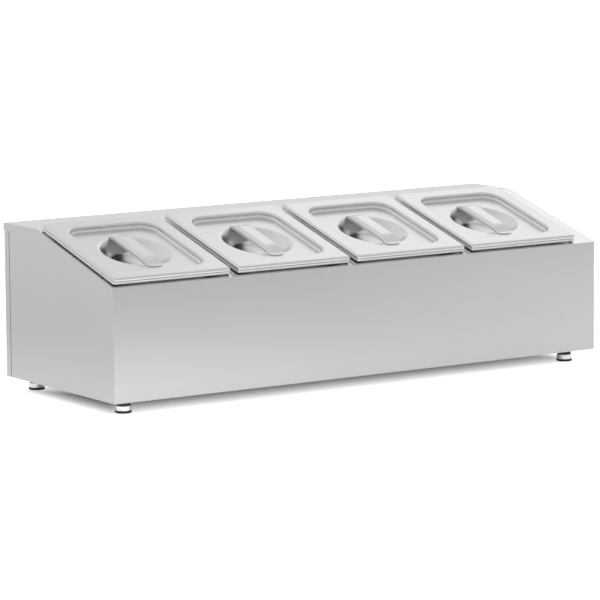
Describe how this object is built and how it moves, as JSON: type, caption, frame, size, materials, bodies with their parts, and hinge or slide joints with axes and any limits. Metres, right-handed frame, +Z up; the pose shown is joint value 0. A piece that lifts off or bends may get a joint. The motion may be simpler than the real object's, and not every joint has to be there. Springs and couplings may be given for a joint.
{
  "type": "gastronorm pan holder",
  "caption": "Free-standing sheet-steel counter holder with a sloped deck that carries a row of lift-out gastronorm pans with loose strap-handled lids, on short levelling feet.",
  "frame": {"origin": "centre of the bounding box's footprint, on the plane that the foot soles rest on", "axes": "+X along the row of pans, to the right as seen from the front; +Y from the front panel to the rear cover; +Z up"},
  "size_m": [0.71, 0.2622, 0.2114],
  "materials": {
    "body_steel": "fine brushed stainless sheet",
    "pan_steel": "satin deep-drawn stainless sheet",
    "lid_steel": "satin polished pressed stainless sheet",
    "fastener_steel": "plain bright steel",
    "foot_chrome": "polished cap",
    "foot_rubber": "black moulded rubber",
    "foot_plastic": "black moulded collar with grip grooves"
  },
  "bodies": {
    "holder": {"wrap_panel": "body_steel", "top_frame": "body_steel", "rear_cover": "body_steel", "base_plate": "body_steel", "base_rivets": "fastener_steel", "foot_nuts": "fastener_steel", "rear_cover_standoffs": "fastener_steel", "rear_cover_screws": "fastener_steel"},
    "pan_1": {"pan_1": "pan_steel"},
    "lid_1": {"lid_1": "lid_steel", "lid_handle_1": "lid_steel"},
    "pan_2": {"pan_2": "pan_steel"},
    "lid_2": {"lid_2": "lid_steel", "lid_handle_2": "lid_steel"},
    "pan_3": {"pan_3": "pan_steel"},
    "lid_3": {"lid_3": "lid_steel", "lid_handle_3": "lid_steel"},
    "pan_4": {"pan_4": "pan_steel"},
    "lid_4": {"lid_4": "lid_steel", "lid_handle_4": "lid_steel"},
    "foot_1": {"foot_1_sole": "foot_rubber", "foot_1_cap": "foot_chrome", "foot_1_collar": "foot_plastic", "foot_1_stud": "fastener_steel"},
    "foot_2": {"foot_2_sole": "foot_rubber", "foot_2_cap": "foot_chrome", "foot_2_collar": "foot_plastic", "foot_2_stud": "fastener_steel"},
    "foot_3": {"foot_3_sole": "foot_rubber", "foot_3_cap": "foot_chrome", "foot_3_collar": "foot_plastic", "foot_3_stud": "fastener_steel"},
    "foot_4": {"foot_4_sole": "foot_rubber", "foot_4_cap": "foot_chrome", "foot_4_collar": "foot_plastic", "foot_4_stud": "fastener_steel"}
  },
  "joints": [
    {"name": "pan_1_lift", "type": "slide", "parent": "holder", "child": "pan_1", "axis": [0, -0.2773, 0.9608], "range_m": [0, 0.14]},
    {"name": "lid_1_lift", "type": "slide", "parent": "pan_1", "child": "lid_1", "axis": [0, -0.2773, 0.9608], "range_m": [0, 0.1]},
    {"name": "pan_2_lift", "type": "slide", "parent": "holder", "child": "pan_2", "axis": [0, -0.2773, 0.9608], "range_m": [0, 0.14]},
    {"name": "lid_2_lift", "type": "slide", "parent": "pan_2", "child": "lid_2", "axis": [0, -0.2773, 0.9608], "range_m": [0, 0.1]},
    {"name": "pan_3_lift", "type": "slide", "parent": "holder", "child": "pan_3", "axis": [0, -0.2773, 0.9608], "range_m": [0, 0.14]},
    {"name": "lid_3_lift", "type": "slide", "parent": "pan_3", "child": "lid_3", "axis": [0, -0.2773, 0.9608], "range_m": [0, 0.1]},
    {"name": "pan_4_lift", "type": "slide", "parent": "holder", "child": "pan_4", "axis": [0, -0.2773, 0.9608], "range_m": [0, 0.14]},
    {"name": "lid_4_lift", "type": "slide", "parent": "pan_4", "child": "lid_4", "axis": [0, -0.2773, 0.9608], "range_m": [0, 0.1]},
    {"name": "foot_1_level", "type": "slide", "parent": "holder", "child": "foot_1", "axis": [0, 0, -1], "range_m": [0, 0.005]},
    {"name": "foot_2_level", "type": "slide", "parent": "holder", "child": "foot_2", "axis": [0, 0, -1], "range_m": [0, 0.005]},
    {"name": "foot_3_level", "type": "slide", "parent": "holder", "child": "foot_3", "axis": [0, 0, -1], "range_m": [0, 0.005]},
    {"name": "foot_4_level", "type": "slide", "parent": "holder", "child": "foot_4", "axis": [0, 0, -1], "range_m": [0, 0.005]}
  ]
}
